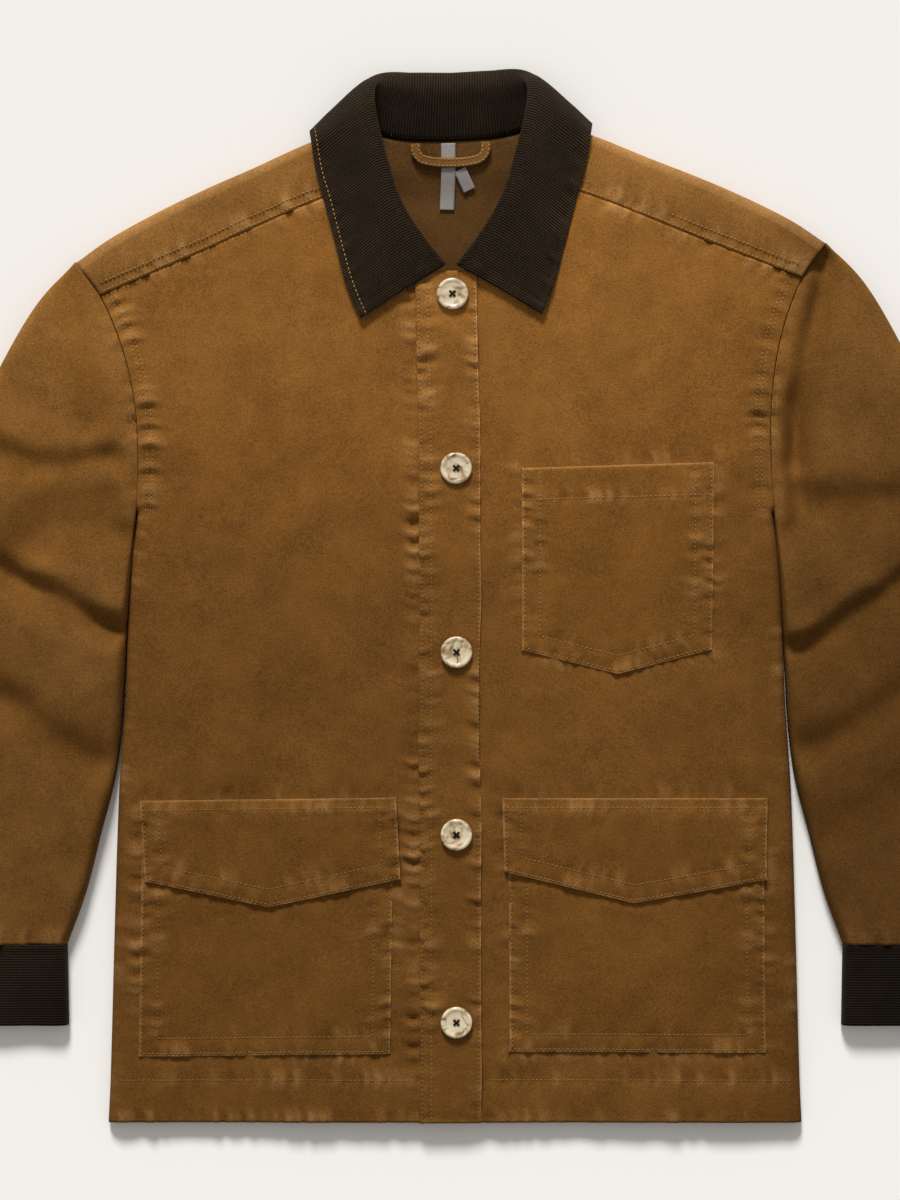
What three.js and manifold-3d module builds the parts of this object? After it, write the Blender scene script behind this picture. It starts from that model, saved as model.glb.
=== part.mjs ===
// A barn jacket laid on its back on a flat surface: canvas body and sleeves, corduroy collar and cuffs.
// Millimetres. +X is the wearer's left, +Y runs from hem to collar, +Z points up from the surface.
// The origin is on the surface, in the middle of the jacket's outline.
import * as THREE from "three";
import { mergeVertices } from "three/addons/utils/BufferGeometryUtils.js";
import Module from "manifold-3d";

// ---------- cloth ----------
const CANVAS = 1.2; // one ply of washed cotton canvas
const FOLDED = 1.8; // placket, flaps and loop: plies pressed together
const CORDUROY = 2.2; // collar: corduroy over its facing
const CUFF_WALL = 1.6;
const RIBBON = 0.8; // plain woven labels
const SEAM_GAP = 0.4; // clearance between pieces that are sewn to each other
const ARMHOLE_GAP = 1; // the same along the curved armhole

// ---------- driving sizes ----------
const HEM_Y = -382;
const ARMPIT_Y = 63;
const FOLD_RADIUS = 6; // shoulder fold, where the back turns over to the front
const EDGE_ROUND = 9; // how far in from a side seam the front curves down to the back
const EDGE_POWER = 2.5; // shape of that curve: 2 is round, more is squarer
const NECK_HALF = 70; // half the neck width at the shoulder fold
const PLACKET = { right: -25.5, left: 19, top: 240 };
const FRONT_EDGE = { right: -13, left: -12 }; // the two fronts, hidden below the placket
const BUTTON = { radius: 11.5, hole: 0.95, holeOffset: 1.8, x: 1, pitchY: [223, 96, -38, -171, -308] };
const CUFF_LENGTH = 59;

// Half-width of the body, from hem to armpit and on up the armhole seam to the shoulder tip.
const SIDE = [
  { y: -382, x: 254 }, { y: -349, x: 252.5 }, { y: -221, x: 249 }, { y: -135, x: 246 }, { y: -75, x: 242 },
  { y: 27, x: 237.5 }, { y: 63, x: 233 }, { y: 100, x: 231 }, { y: 144, x: 232 }, { y: 188, x: 240 },
  { y: 229, x: 256 }, { y: 254, x: 274 },
];
// Outline of the shoulder fold, from the side of the neck to the shoulder tip.
const SHOULDER = [
  { x: 70, y: 349.5 }, { x: 110, y: 334.5 }, { x: 145, y: 319.5 }, { x: 180, y: 305 }, { x: 215, y: 289 },
  { x: 250, y: 270.5 }, { x: 274, y: 254 },
];
// Seam where the back, brought over the shoulder, meets the front.
const YOKE_SEAM = [
  { x: 70, y: 304.5 }, { x: 110, y: 289.5 }, { x: 145, y: 275 }, { x: 180, y: 260 }, { x: 219, y: 244 },
  { x: 256, y: 229 },
];
const FRONT_NECK = [
  { x: 0, y: 240 }, { x: 10, y: 241 }, { x: 26, y: 247 }, { x: 44, y: 260 }, { x: 59, y: 278 }, { x: 70, y: 304.5 },
];
const BACK_NECK = [{ x: 0, y: 336 }, { x: 30, y: 337 }, { x: 52, y: 341 }, { x: 70, y: 349.5 }];
// Height of the front's outer face above the surface, along the body.
const BODY_HEIGHT = [
  { y: -382, z: 10 }, { y: -250, z: 11.5 }, { y: -60, z: 13 }, { y: 120, z: 14 }, { y: 351, z: 14 },
];
// One sleeve, from armhole to cuff seam: points on its outer and inner fold, its height,
// and how much of the armhole's curve the section still follows.
const SLEEVE = [
  { outX: 275, outY: 254.6, inX: 234.2, inY: 62, z: 14, bow: 1 },
  { outX: 303, outY: 224, inX: 237, inY: 40, z: 17, bow: 0.8 },
  { outX: 329, outY: 180, inX: 240, inY: 12, z: 19, bow: 0.5 },
  { outX: 357, outY: 122, inX: 242.5, inY: -20, z: 20, bow: 0.25 },
  { outX: 383, outY: 58, inX: 244.2, inY: -55, z: 20, bow: 0 },
  { outX: 402, outY: -12, inX: 246.5, inY: -92, z: 19, bow: 0 },
  { outX: 413, outY: -82, inX: 251, inY: -130, z: 18, bow: 0 },
  { outX: 418, outY: -150, inX: 259, inY: -170, z: 16, bow: 0 },
  { outX: 417, outY: -208, inX: 270, inY: -213, z: 14, bow: 0 },
  { outX: 412, outY: -252, inX: 284, inY: -252, z: 12.5, bow: 0 },
];
// The largest creases of the sleeves: a soft trough from one plan point to another.
const SLEEVE_TROUGHS = [
  { side: -1, x0: 236, y0: 92, x1: 330, y1: 108, width: 13, depth: 5 },
  { side: -1, x0: 245, y0: -22, x1: 322, y1: 8, width: 13, depth: 7 },
  { side: -1, x0: 330, y0: 22, x1: 392, y1: -2, width: 13, depth: 5 },
  { side: -1, x0: 270, y0: -112, x1: 345, y1: -62, width: 16, depth: 5 },
  { side: 1, x0: 264, y0: 200, x1: 256, y1: 130, width: 13, depth: 3 },
  { side: 1, x0: 250, y0: 52, x1: 345, y1: 88, width: 13, depth: 5 },
  { side: 1, x0: 252, y0: -38, x1: 352, y1: 26, width: 15, depth: 6 },
  { side: 1, x0: 258, y0: -98, x1: 362, y1: -46, width: 15, depth: 5 },
];
// Collar, from the middle of the back round to the front end. Each section runs from the neck seam
// up the stand, over the roll and down the fall to the outer edge.
const COLLAR_SECTION = ["seam", "stand", "roll", "turn", "fall", "edge"];
const COLLAR = [
  { seam: [0, 337.2, 6], stand: [0, 357, 13], roll: [0, 374, 17], turn: [0, 385, 9], fall: [0, 353, 0], edge: [0, 322, 0] },
  { seam: [30, 338.4, 6], stand: [28, 358, 13], roll: [26, 375, 17], turn: [27, 386, 9], fall: [34, 354, 0], edge: [38, 322, 0] },
  { seam: [52, 343, 6], stand: [48, 362, 13], roll: [44, 377, 17], turn: [48, 386.5, 9], fall: [62, 355, 0], edge: [76, 323, 0] },
  { seam: [63, 349, 8], stand: [58, 364, 14], roll: [52, 378.5, 18], turn: [60, 383, 10], fall: [81, 358, 1], edge: [97, 334, 0] },
  { seam: [67, 351, 12], stand: [61, 362, 18], roll: [55, 375, 22], turn: [66, 376, 20], fall: [88, 360, 12], edge: [103, 346, 8] },
  { seam: [67.5, 345, 16.6], stand: [61, 353, 22], roll: [55, 363, 26.5], turn: [63, 362, 27], fall: [82, 351, 22], edge: [102, 337, 17.5] },
  { seam: [66.5, 328, 17], stand: [59, 335, 23], roll: [51.5, 343, 28], turn: [59, 342, 28.5], fall: [76, 330, 23], edge: [98, 313, 17.4] },
  { seam: [63.5, 306, 17], stand: [55, 311, 23], roll: [45, 318, 28], turn: [53, 317, 28.5], fall: [70, 305, 22.5], edge: [91.5, 290, 17.4] },
  { seam: [54, 284, 17], stand: [46, 287, 22], roll: [36, 291, 26], turn: [44, 290, 27], fall: [62, 278, 22], edge: [84, 261, 17.4] },
  { seam: [36, 263, 17], stand: [29, 264, 20], roll: [20, 265, 23], turn: [29, 262, 24], fall: [51, 249, 21], edge: [76, 231, 17.4] },
  { seam: [8, 245, 17.4], stand: [6, 244.8, 17.9], roll: [3.5, 244.4, 18.4], turn: [14, 238, 18.6], fall: [38, 224, 18.4], edge: [66, 206.5, 17.8] },
];
// Patch pockets and flaps, corner by corner, from the upper inner corner round to the lower inner one.
const CHEST_POCKET = { corners: [[49, 96], [189, 100], [187.5, -36], [49, -36.5]], point: [119, -54], hem: 18 };
const PATCH_POCKETS = {
  right: { corners: [[-45, -160], [-228, -160], [-231, -333.5], [-47.5, -331.5]], point: null },
  left: { corners: [[39, -158], [225, -158], [227, -330.5], [40, -330]], point: null },
};
const FLAPS = {
  right: { corners: [[-43, -144], [-230, -146.5], [-226, -205], [-40, -203.5]], point: [-136, -224] },
  left: { corners: [[34.5, -144.5], [228, -144.5], [227, -204], [36, -198]], point: [130, -221] },
};
const COLOURS = { canvas: 0x7c5326, corduroy: 0x2b221a, button: 0xcdbb9c, ribbon: 0x8f8684 };

// ---------- small maths ----------
const clamp01 = (v) => Math.min(1, Math.max(0, v));
const smooth = (v) => clamp01(v) ** 2 * (3 - 2 * clamp01(v));
const mix = (a, b, t) => a + (b - a) * t;

// Smooth value of one column of a table at a value of another column (cubic, through every row).
function along(rows, key, column, at) {
  const order = [...rows].sort((a, b) => a[key] - b[key]);
  const x = clampTo(at, order[0][key], order.at(-1)[key]);
  const i = Math.max(0, order.findIndex((row, n) => n + 1 >= order.length - 1 || x <= order[n + 1][key]));
  const slope = (n) => {
    const a = order[Math.max(0, n - 1)];
    const b = order[Math.min(order.length - 1, n + 1)];
    return (b[column] - a[column]) / (b[key] - a[key]);
  };
  const [p, q] = [order[i], order[i + 1]];
  const span = q[key] - p[key];
  const t = (x - p[key]) / span;
  const bend = (t - 1) * t;
  const hermite = bend * ((t - 1) * slope(i) + t * slope(i + 1)) * span;
  return mix(p[column], q[column], smooth(t)) + hermite;
}
const clampTo = (v, low, high) => Math.min(high, Math.max(low, v));
const spread = (from, to, count) => Array.from({ length: count + 1 }, (_, i) => mix(from, to, i / count));

// How the jacket was put down: the wearer's left shoulder a little higher than the right.
function lay(x, y) {
  const up = smooth((y - ARMPIT_Y) / 180);
  return [x - 3 * up, y + 0.026 * x * up];
}

// Distance from a point of the body to its nearest side seam, or to the armpit above that seam.
function toSide(x, y) {
  if (y <= ARMPIT_Y) return along(SIDE, "y", "x", y) - Math.abs(x);
  return Math.hypot(Math.abs(x) - along(SIDE, "y", "x", ARMPIT_Y), y - ARMPIT_Y);
}
const rounded = (d, reach) => (1 - (1 - clamp01(d / reach)) ** EDGE_POWER) ** (1 / EDGE_POWER);

// Height of the outer face of the fronts, before anything is sewn on them.
function frontZ(x, y) {
  const low = 2 * CANVAS + SEAM_GAP;
  return mix(low, along(BODY_HEIGHT, "y", "z", y), rounded(toSide(x, y), EDGE_ROUND));
}
// Height of the back's inner face: it rides up over the collar, which is folded under it at the neck.
function backZ(x, y) {
  const rise = CORDUROY + 2 * SEAM_GAP;
  return CANVAS + rise * smooth((y - 292) / 26) * (1 - smooth((Math.abs(x) - 106) / 30));
}

// ---------- solids ----------
// A closed wall of cloth on a grid of points, rows[i][j], with its outer face on them.
// wrap joins each row's last point to its first; inGrid(i, j) says which cells are cloth.
function wall(rows, thickness, { wrap = false, inGrid = () => true } = {}) {
  const [n, m] = [rows.length, rows[0].length];
  const at = (i, j) => rows[clampTo(i, 0, n - 1)][wrap ? (j + m) % m : clampTo(j, 0, m - 1)];
  const position = [];
  rows.forEach((row, i) =>
    row.forEach((p, j) => {
      const down = new THREE.Vector3().subVectors(at(i + 1, j), at(i - 1, j));
      const across = new THREE.Vector3().subVectors(at(i, j + 1), at(i, j - 1));
      const inside = down.cross(across).normalize().multiplyScalar(-thickness).add(p);
      position.push(...p.toArray(), ...inside.toArray());
    }),
  );
  const vertex = (i, j, inner) => 2 * (i * m + ((j + m) % m)) + inner;
  const faces = [];
  const quad = (a, b, c, d) => faces.push(a, c, b, a, d, c);
  const isCell = (i, j) => i >= 0 && i < n - 1 && (wrap || (j >= 0 && j < m - 1)) && inGrid(i, (j + m) % m);
  for (let i = 0; i < n - 1; i++)
    for (let j = 0; j < (wrap ? m : m - 1); j++) {
      if (!isCell(i, j)) continue;
      const corner = [[i, j], [i, j + 1], [i + 1, j + 1], [i + 1, j]];
      const [a, b, c, d] = corner.map(([r, s]) => [vertex(r, s, 0), vertex(r, s, 1)]);
      quad(a[0], b[0], c[0], d[0]);
      quad(d[1], c[1], b[1], a[1]);
      if (!isCell(i - 1, j)) quad(b[0], a[0], a[1], b[1]);
      if (!isCell(i + 1, j)) quad(d[0], c[0], c[1], d[1]);
      if (!isCell(i, j - 1)) quad(a[0], d[0], d[1], a[1]);
      if (!isCell(i, j + 1)) quad(c[0], b[0], b[1], c[1]);
    }
  const geometry = new THREE.BufferGeometry();
  geometry.setAttribute("position", new THREE.Float32BufferAttribute(position, 3));
  geometry.setIndex(faces);
  const used = mergeVertices(geometry.toNonIndexed(), 1e-4);
  used.computeVertexNormals();
  return used;
}

const material = (colour, roughness) =>
  new THREE.MeshStandardMaterial({ color: COLOURS[colour], roughness, metalness: 0, side: THREE.DoubleSide });
const FINISHES = {
  canvas: material("canvas", 0.9),
  corduroy: material("corduroy", 0.85),
  button: material("button", 0.3),
  ribbon: material("ribbon", 0.45),
};
const jacket = new THREE.Group();
function sew(name, finish, geometry) {
  const mesh = new THREE.Mesh(geometry, FINISHES[finish]);
  mesh.name = name;
  jacket.add(mesh);
}
const point = (x, y, z) => new THREE.Vector3(...lay(x, y), z);

// ---------- fronts ----------
// Each front runs from its edge below the placket out to the side seam, and from the hem up to the neck and yoke seam.
function front(side) {
  const edge = side > 0 ? FRONT_EDGE.left : -FRONT_EDGE.right;
  const top = (x) => (x < NECK_HALF ? along(FRONT_NECK, "x", "y", x) : along(YOKE_SEAM, "x", "y", x)) - SEAM_GAP;
  const corner = YOKE_SEAM.at(-1).x;
  const inner = [10, 26, 44, 59, NECK_HALF, 88, 110, 145, 180, 219].filter((x) => x > edge + 2);
  const columns = [edge, ...inner].map((x) => (x - edge) / (corner - edge));
  const nearSide = [EDGE_ROUND, 5, 2, 0.5, 0];
  const heights = [0, 0.15, 0.3, 0.45, 0.6, 0.7, 0.74, 0.78, 0.82, 0.86, 0.91, 0.955, 1];
  const rows = heights.map((t) => {
    const wide = along(SIDE, "y", "x", mix(HEM_Y, top(corner), t));
    const place = (share, inset) => {
      const y = mix(HEM_Y, top(Math.max(0, mix(edge, corner, share))), t);
      const x = mix(edge, wide, share) - inset;
      return point(side * x, y, frontZ(x, y));
    };
    return [...columns.map((share) => place(share, 0)), ...nearSide.map((d) => place(1, d))];
  });
  if (side < 0) rows.forEach((row) => row.reverse());
  return wall(rows.reverse(), CANVAS);
}
sew("front_left", "canvas", front(1));
sew("front_right", "canvas", front(-1));

// ---------- back ----------
// One piece: it lies on the surface, turns over at the shoulders and ends at the yoke seam on the front.
function back() {
  const half = [0, 30, 52, NECK_HALF, 88, 110, 145, 180, 215, 250, 274];
  const columns = [...half.slice(1).reverse().map((x) => -x), ...half];
  const tip = SIDE.at(-1).x;
  const topY = (x) => (x < NECK_HALF ? along(BACK_NECK, "x", "y", x) : along(SHOULDER, "x", "y", x) - FOLD_RADIUS);
  const flat = [0, 0.15, 0.3, 0.45, 0.6, 0.69, 0.73, 0.77, 0.81, 0.85, 0.89, 0.925, 0.96, 1].map((t) =>
    columns.map((x) => {
      const y = mix(HEM_Y, topY(Math.abs(x)), t);
      const wide = along(SIDE, "y", "x", y) * (x / tip);
      return point(wide, y, backZ(wide, y) - CANVAS);
    }),
  );
  // The shoulder strips keep their neck edge and follow the armhole with their outer one.
  const acrossShoulder = (x, outerY) => {
    const share = (Math.abs(x) - NECK_HALF) / (tip - NECK_HALF);
    return Math.sign(x) * mix(NECK_HALF, along(SIDE, "y", "x", outerY), share);
  };
  const shoulderY = (x) => along(SHOULDER, "x", "y", Math.abs(x)) - FOLD_RADIUS;
  // Round the shoulder fold: no turn is the back's lower face, a whole turn is the outer face on the front.
  const fold = [0.25, 0.5, 0.75, 1].map((turn) =>
    columns.map((x) => {
      const out = FOLD_RADIUS * Math.sin(Math.PI * turn);
      const low = backZ(x, shoulderY(x)) - CANVAS;
      const high = along(BODY_HEIGHT, "y", "z", shoulderY(x));
      const lift = mix(low, high, (1 - Math.cos(Math.PI * turn)) / 2);
      return point(acrossShoulder(x, shoulderY(tip) + out), shoulderY(x) + out, lift);
    }),
  );
  const over = [0.5, 1].map((t) =>
    columns.map((x) => {
      const outerY = mix(shoulderY(tip), YOKE_SEAM.at(-1).y, t);
      const seamX = acrossShoulder(x, YOKE_SEAM.at(-1).y);
      const y = mix(shoulderY(x), along(YOKE_SEAM, "x", "y", Math.abs(seamX)), t);
      return point(acrossShoulder(x, outerY), y, along(BODY_HEIGHT, "y", "z", y));
    }),
  );
  const neckCells = (i, j) => {
    const middle = (columns[j] + columns[j + 1]) / 2;
    return i < flat.length - 1 || Math.abs(middle) > NECK_HALF;
  };
  return wall([...flat, ...fold, ...over], CANVAS, { inGrid: neckCells });
}
sew("back", "canvas", back());

// ---------- sleeves and cuffs ----------
// Distance in plan from a point to the segment between two others.
function toSegment(x, y, { x0, y0, x1, y1 }) {
  const t = clamp01(((x - x0) * (x1 - x0) + (y - y0) * (y1 - y0)) / ((x1 - x0) ** 2 + (y1 - y0) ** 2));
  return Math.hypot(x - mix(x0, x1, t), y - mix(y0, y1, t));
}
const troughDepth = (side, x, y) =>
  SLEEVE_TROUGHS.filter((trough) => trough.side === side).reduce(
    (sum, trough) => sum + trough.depth * Math.exp(-((toSegment(x, y, trough) / trough.width) ** 2)),
    0,
  );

// The armhole seam bows in towards the body from the straight line between armpit and shoulder tip.
function armholeBow(share) {
  const [first, last] = [SLEEVE[0], SIDE.at(-1)];
  const y = mix(first.inY, last.y, share);
  return along(SIDE, "y", "x", y) + ARMHOLE_GAP - mix(first.inX, last.x, share);
}

// One ring of a flat tube between an inner and an outer fold: over the top, then back along the surface.
const RING_INSET = { inner: [0, 0.7, 3, 9], outer: [13, 6, 2, 0] };
const RING_MIDDLE = [0.15, 0.27, 0.39, 0.51, 0.63, 0.75, 0.86];
const RING_UNDER = [1, 0.94, 0.86, 0.75, 0.63, 0.51, 0.39, 0.27, 0.15, 0];
const OUTER_ROUND = 13;
function ring(side, section, trough) {
  const width = Math.hypot(section.outX - section.inX, section.outY - section.inY);
  const shares = [
    ...RING_INSET.inner.map((d) => d / width),
    ...RING_MIDDLE,
    ...RING_INSET.outer.map((d) => 1 - d / width),
  ];
  const place = (share, z) => {
    const x = mix(section.inX, section.outX, share) + section.bow * armholeBow(share);
    const y = mix(section.inY, section.outY, share);
    return point(side * x, y, z(x, y));
  };
  const edge = 2 * CANVAS + SEAM_GAP;
  const over = shares.map((share) => {
    const lift = rounded(share * width, EDGE_ROUND) * rounded((1 - share) * width, OUTER_ROUND);
    return place(share, (x, y) => mix(edge, section.z - trough(x, y), lift));
  });
  const under = RING_UNDER.map((share) => place(share, () => 0));
  return side > 0 ? [...over, ...under] : [...over, ...under].reverse();
}
function sleeveSection(t) {
  const at = t * (SLEEVE.length - 1);
  const rows = SLEEVE.map((row, order) => ({ ...row, order }));
  return Object.fromEntries(["outX", "outY", "inX", "inY", "z", "bow"].map((key) => [key, along(rows, "order", key, at)]));
}
function sleeve(side) {
  const rows = spread(0, 1, 15).map((t) => {
    const section = sleeveSection(t);
    if (t === 1) section.outY = section.inY = SLEEVE.at(-1).outY + SEAM_GAP;
    const fade = 1 - smooth((t - 0.8) / 0.2);
    return ring(side, section, (x, y) => fade * smooth(8 * t) * troughDepth(side, x, y));
  });
  return wall(rows, CANVAS, { wrap: true });
}
function cuff(side) {
  const end = SLEEVE.at(-1);
  const rows = spread(0, 1, 3).map((t) => {
    const y = end.outY - t * CUFF_LENGTH;
    const waist = 2 * Math.sin(Math.PI * t);
    const section = { outX: end.outX - waist, outY: y, inX: end.inX - t, inY: y, z: end.z + 0.4 - t, bow: 0 };
    return ring(side, section, () => 0);
  });
  return wall(rows, CUFF_WALL, { wrap: true });
}
for (const [hand, side] of [["left", 1], ["right", -1]]) {
  sew(`sleeve_${hand}`, "canvas", sleeve(side));
  sew(`cuff_${hand}`, "corduroy", cuff(side));
}

// ---------- collar ----------
function collarSection(u) {
  const at = Math.abs(u) * (COLLAR.length - 1);
  const rows = COLLAR.map((row, order) => {
    const flat = COLLAR_SECTION.flatMap((name) => row[name].map((value, axis) => [name + axis, value]));
    return { order, ...Object.fromEntries(flat) };
  });
  const knots = COLLAR_SECTION.map((name) => {
    const [x, y, z] = [0, 1, 2].map((axis) => along(rows, "order", name + axis, at));
    return point(Math.sign(u || 1) * x, y, z);
  });
  const curve = new THREE.CatmullRomCurve3(knots, false, "centripetal");
  return spread(0, 1, 8).map((t) => curve.getPoint(t)).map((p) => p.setZ(Math.max(0, p.z)));
}
sew("collar", "corduroy", wall(spread(-1, 1, 32).map(collarSection), CORDUROY));

// ---------- what lies on the panels ----------
// A panel piece between four corners, its lower edge drawn down to a point where it has one.
function patch({ corners, point: tip }, thickness, height, rowCount = 6) {
  const [innerTop, outerTop, outerLow, innerLow] = corners;
  const columns = tip ? spread(0, 1, 6) : spread(0, 1, 5);
  const low = (share) => {
    const straight = [mix(innerLow[0], outerLow[0], share), mix(innerLow[1], outerLow[1], share)];
    if (!tip) return straight;
    const half = share < 0.5 ? [innerLow, tip, share * 2] : [tip, outerLow, share * 2 - 1];
    return [0, 1].map((axis) => mix(half[0][axis], half[1][axis], half[2]));
  };
  const rows = spread(0, 1, rowCount).map((t) =>
    columns.map((share) => {
      const [lowX, lowY] = low(share);
      const x = mix(mix(innerTop[0], outerTop[0], share), lowX, t);
      const y = mix(mix(innerTop[1], outerTop[1], share), lowY, t);
      return point(x, y, frontZ(x, y) + height(x, y, t));
    }),
  );
  if (outerTop[0] < innerTop[0]) rows.forEach((row) => row.reverse());
  return wall(rows, thickness);
}
const onPanel = CANVAS + SEAM_GAP;
sew("chest_pocket", "canvas", patch(CHEST_POCKET, CANVAS, () => onPanel));
for (const [hand, pocket] of Object.entries(PATCH_POCKETS)) {
  sew(`pocket_${hand}`, "canvas", patch(pocket, CANVAS, () => onPanel));
  // The flap starts on the front above the pocket and then lies over the pocket's mouth.
  const flapTop = FLAPS[hand].corners[0][1];
  const overPocket = (x, y) => FOLDED + SEAM_GAP + (onPanel + 0.2) * smooth((flapTop - 2 - y) / 9);
  sew(`flap_${hand}`, "canvas", patch(FLAPS[hand], FOLDED, overPocket, 8));
}

// The placket band lies over both front edges, from the hem to the collar ends.
function placket() {
  const rows = spread(PLACKET.top, HEM_Y, 26).map((y) =>
    [PLACKET.right, 0, PLACKET.left].map((x) => point(x, y, frontZ(x, y) + FOLDED + SEAM_GAP)),
  );
  return wall(rows, FOLDED);
}
sew("placket", "canvas", placket());

// ---------- inside the neck ----------
// A narrow strip along a plan line, its width across that line.
function strip(line, width, thickness, height) {
  const curve = new THREE.CatmullRomCurve3(line.map(([x, y]) => new THREE.Vector3(x, y, 0)), false, "centripetal");
  const steps = 4 * (line.length - 1);
  const rows = spread(0, 1, steps).map((t) => {
    const p = curve.getPoint(t);
    const forward = curve.getTangent(t);
    const side = new THREE.Vector3(-forward.y, forward.x, 0).multiplyScalar(width / 2);
    return [-1, 1].map((k) => {
      const q = p.clone().addScaledVector(side, k);
      return point(q.x, q.y, backZ(q.x, q.y) + height);
    });
  });
  return wall(rows, thickness);
}
const LOOP_LINE = [[-26, 334.5], [-25.5, 328], [-20, 322.5], [0, 320], [20, 322], [25, 327], [25.5, 334.5]];
const LABEL_LINES = { long: [[-2, 334.5], [-2, 310], [-3, 286]], short: [[6.5, 315], [13.5, 300]] };
const LABEL_WIDTH = 8.6;
sew("hang_loop", "canvas", strip(LOOP_LINE, 7, FOLDED, 3 * SEAM_GAP + RIBBON + FOLDED));
for (const [length, line] of Object.entries(LABEL_LINES))
  sew(`label_${length}`, "ribbon", strip(line, LABEL_WIDTH, RIBBON, 2 * SEAM_GAP + RIBBON));

// ---------- buttons ----------
const wasm = await Module();
wasm.setup();
function toSolid(geometry) {
  const bare = geometry.index ? geometry.toNonIndexed() : geometry.clone();
  bare.deleteAttribute("normal");
  bare.deleteAttribute("uv");
  const merged = mergeVertices(bare, 1e-3);
  return new wasm.Manifold(
    new wasm.Mesh({
      numProp: 3,
      vertProperties: new Float32Array(merged.attributes.position.array),
      triVerts: new Uint32Array(merged.index.array),
    }),
  );
}
function toGeometry(solid) {
  const { vertProperties, triVerts } = solid.getMesh();
  const geometry = new THREE.BufferGeometry();
  geometry.setAttribute("position", new THREE.BufferAttribute(new Float32Array(vertProperties), 3));
  geometry.setIndex(new THREE.BufferAttribute(new Uint32Array(triVerts), 1));
  geometry.computeVertexNormals();
  return geometry;
}
// A horn-type button with a raised rim, a dished middle and four holes.
function button() {
  const r = BUTTON.radius;
  const profile = [[0, 0], [r - 3, 0], [r - 0.4, 1.1], [r, 2], [r - 0.9, 3.2], [r - 2.2, 3.3], [r - 4, 2.4], [0, 2.1]];
  const body = new THREE.LatheGeometry(profile.map(([x, z]) => new THREE.Vector2(x, z)), 18);
  let solid = toSolid(body.rotateX(Math.PI / 2));
  for (const sx of [-1, 1])
    for (const sy of [-1, 1]) {
      const hole = new THREE.CylinderGeometry(BUTTON.hole, BUTTON.hole, 8, 6).rotateX(Math.PI / 2);
      hole.translate(sx * BUTTON.holeOffset, sy * BUTTON.holeOffset, 1);
      solid = solid.subtract(toSolid(hole));
    }
  return toGeometry(solid);
}
BUTTON.pitchY.forEach((y, i) => {
  const geometry = button();
  const [x, laidY] = lay(BUTTON.x, y);
  geometry.translate(x, laidY, frontZ(BUTTON.x, y) + FOLDED + 2 * SEAM_GAP + 0.2);
  sew(`button_${i + 1}`, "button", geometry);
});

const outline = new THREE.Box3().setFromObject(jacket);
jacket.position.y = -(outline.min.y + outline.max.y) / 2;

export default jacket;
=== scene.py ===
import math

import bpy
import numpy as np
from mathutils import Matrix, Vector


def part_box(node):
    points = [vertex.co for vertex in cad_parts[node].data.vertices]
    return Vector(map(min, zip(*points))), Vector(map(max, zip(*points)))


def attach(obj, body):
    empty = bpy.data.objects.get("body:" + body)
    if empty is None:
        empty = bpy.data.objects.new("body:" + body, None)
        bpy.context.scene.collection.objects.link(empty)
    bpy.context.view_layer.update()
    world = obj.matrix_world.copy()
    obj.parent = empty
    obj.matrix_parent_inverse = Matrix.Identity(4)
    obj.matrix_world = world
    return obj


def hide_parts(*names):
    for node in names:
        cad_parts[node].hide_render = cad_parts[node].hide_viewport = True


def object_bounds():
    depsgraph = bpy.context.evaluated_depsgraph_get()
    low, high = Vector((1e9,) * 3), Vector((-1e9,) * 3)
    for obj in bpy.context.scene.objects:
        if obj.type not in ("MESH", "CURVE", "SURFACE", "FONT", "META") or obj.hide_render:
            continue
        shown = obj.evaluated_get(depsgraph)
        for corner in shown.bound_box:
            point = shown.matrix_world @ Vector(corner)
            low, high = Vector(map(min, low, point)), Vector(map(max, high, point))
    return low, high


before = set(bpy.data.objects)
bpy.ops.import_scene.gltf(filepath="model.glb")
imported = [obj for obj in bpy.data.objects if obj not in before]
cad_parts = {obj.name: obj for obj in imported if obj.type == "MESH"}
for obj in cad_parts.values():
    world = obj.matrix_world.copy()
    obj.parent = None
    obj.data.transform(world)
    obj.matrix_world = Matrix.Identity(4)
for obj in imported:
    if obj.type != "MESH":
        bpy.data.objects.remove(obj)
cad_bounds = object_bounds()
MM = 0.001

# ---------- cloth and sizes ----------
CANVAS, FOLDED, CORDUROY, CUFF_WALL, RIBBON, GAP = 1.2, 1.8, 2.2, 1.6, 0.8, 0.4
HEM_Y, ARMPIT_Y, NECK_HALF, FOLD_RADIUS = -382, 63, 70, 6
EDGE_ROUND, OUTER_ROUND, EDGE_POWER = 9, 13, 2.5
HEM_BAND = 31
CELL = 2.2  # size of the cloth mesh's cells
SHIFT_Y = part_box("back")[0].y / MM - HEM_Y

SIDE = [(-382, 254), (-349, 252.5), (-221, 249), (-135, 246), (-75, 242), (27, 237.5), (63, 233), (100, 231),
        (144, 232), (188, 240), (229, 256), (254, 274)]
SHOULDER = [(70, 349.5), (110, 334.5), (145, 319.5), (180, 305), (215, 289), (250, 270.5), (274, 254)]
YOKE_SEAM = [(70, 304.5), (110, 289.5), (145, 275), (180, 260), (219, 244), (256, 229)]
FRONT_NECK = [(0, 240), (10, 241), (26, 247), (44, 260), (59, 278), (70, 304.5)]
BACK_NECK = [(0, 336), (30, 337), (52, 341), (70, 349.5)]
BODY_HEIGHT = [(-382, 10), (-250, 11.5), (-60, 13), (120, 14), (351, 14)]
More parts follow.
